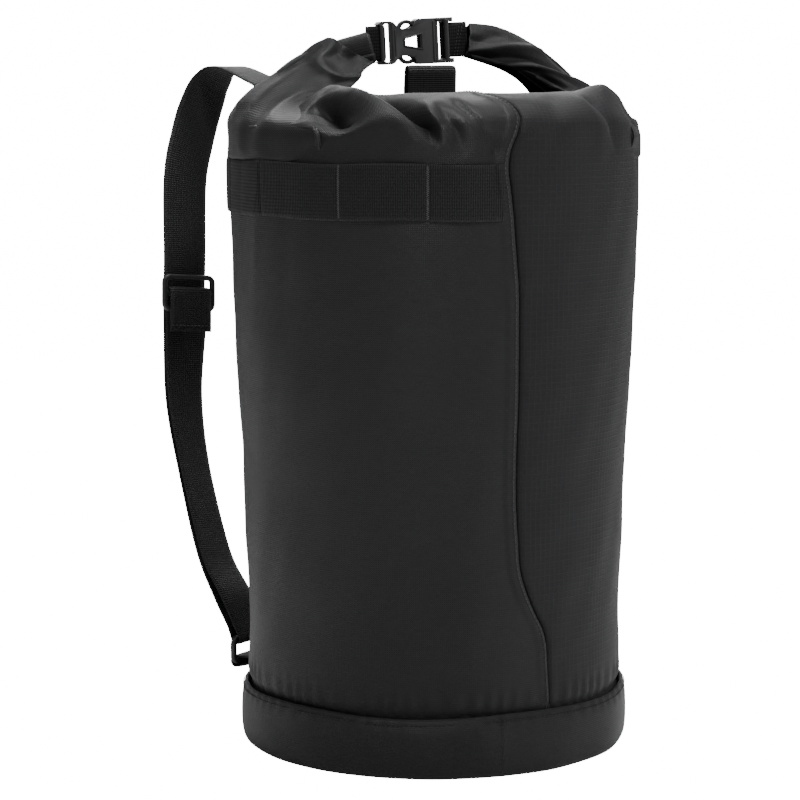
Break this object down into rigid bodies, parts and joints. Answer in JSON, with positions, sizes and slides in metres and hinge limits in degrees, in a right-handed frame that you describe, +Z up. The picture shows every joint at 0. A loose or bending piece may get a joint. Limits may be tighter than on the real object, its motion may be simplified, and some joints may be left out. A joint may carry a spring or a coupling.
{
  "type": "rope storage bag",
  "caption": "Upright cylindrical roll-top bag for rope, with a stiff round base, a daisy chain, a hang loop, a side-release closure and two webbing shoulder straps.",
  "frame": {"origin": "middle of the underside of the base, where the bag stands", "axes": "+Z up; the bag's front, with the daisy chain and the front seam, faces -Y; the shoulder straps are on +Y"},
  "size_m": [0.3092, 0.3853, 0.5243],
  "materials": {
    "coated_cloth": "black coated pack cloth with a fine diagonal weave and a slight sheen",
    "ripstop_cloth": "slightly lighter black ripstop cloth with a fine grid",
    "webbing": "matt black woven webbing",
    "binding_tape": "matt black binding tape",
    "stiffener_board": "smooth black board",
    "moulded_plastic": "satin dark grey moulded plastic"
  },
  "bodies": {
    "bag": {"base_panel": "coated_cloth", "base_band": "coated_cloth", "front_left_panel": "coated_cloth", "back_panel": "coated_cloth", "left_ear": "coated_cloth", "rolled_mouth": "coated_cloth", "back_yoke": "coated_cloth", "front_right_panel": "ripstop_cloth", "right_ear": "ripstop_cloth", "right_mouth_arm": "ripstop_cloth", "daisy_chain": "webbing", "left_buckle_tab": "webbing", "right_buckle_tab": "webbing", "hang_loop_patch": "webbing", "left_strap_top_tab": "webbing", "left_lower_tab": "webbing", "right_strap_top_tab": "webbing", "right_lower_tab": "webbing", "base_seam_binding": "binding_tape", "front_seam_tape": "binding_tape", "left_seam_tape": "binding_tape", "right_seam_tape": "binding_tape", "base_stiffener": "stiffener_board", "mouth_stiffener": "stiffener_board", "buckle_female": "moulded_plastic"},
    "buckle_plug": {"buckle_male": "moulded_plastic"},
    "upper_prong": {"buckle_upper_prong": "moulded_plastic"},
    "lower_prong": {"buckle_lower_prong": "moulded_plastic"},
    "hang_loop": {"hang_loop": "webbing"},
    "left_strap": {"left_strap": "webbing", "left_strap_return": "webbing", "left_lower_ring": "moulded_plastic"},
    "left_slider": {"left_slider": "moulded_plastic"},
    "right_strap": {"right_strap": "webbing", "right_strap_return": "webbing", "right_lower_ring": "moulded_plastic"},
    "right_slider": {"right_slider": "moulded_plastic"}
  },
  "joints": [
    {"name": "buckle_release", "type": "slide", "parent": "bag", "child": "buckle_plug", "axis": [0.9986, 0, 0.0523], "range_m": [0, 0.026], "deforming": ["right_buckle_tab", "right_mouth_arm", "right_ear", "buckle_upper_prong", "buckle_lower_prong"]},
    {"name": "upper_prong_squeeze", "type": "hinge", "parent": "buckle_plug", "child": "upper_prong", "pos_m": [0.00458, 0.015, 0.51529], "axis": [0, -1, 0], "range_deg": [0, 9], "stiffness_Nm_per_rad": 0.3},
    {"name": "lower_prong_squeeze", "type": "hinge", "parent": "buckle_plug", "child": "lower_prong", "pos_m": [0.00542, 0.015, 0.49931], "axis": [0, 1, 0], "range_deg": [0, 9], "stiffness_Nm_per_rad": 0.3},
    {"name": "hang_loop_fold", "type": "hinge", "parent": "bag", "child": "hang_loop", "pos_m": [0.028, 0.085, 0.466], "axis": [1, 0, 0], "range_deg": [-50, 50]},
    {"name": "left_strap_swing", "type": "hinge", "parent": "bag", "child": "left_strap", "pos_m": [-0.031, 0.16, 0.448], "axis": [0.1928, 0.1152, 0.9745], "range_deg": [-30, 30], "deforming": ["left_lower_tab"]},
    {"name": "left_slider_adjust", "type": "slide", "parent": "left_strap", "child": "left_slider", "axis": [0.0496, 0.1239, 0.9911], "range_m": [-0.012, 0.05], "deforming": ["left_strap_return"]},
    {"name": "right_strap_swing", "type": "hinge", "parent": "bag", "child": "right_strap", "pos_m": [0.031, 0.16, 0.448], "axis": [-0.1928, 0.1152, 0.9745], "range_deg": [-30, 30], "deforming": ["right_lower_tab"]},
    {"name": "right_slider_adjust", "type": "slide", "parent": "right_strap", "child": "right_slider", "axis": [-0.0496, 0.1239, 0.9911], "range_m": [-0.012, 0.05], "deforming": ["right_strap_return"]}
  ]
}
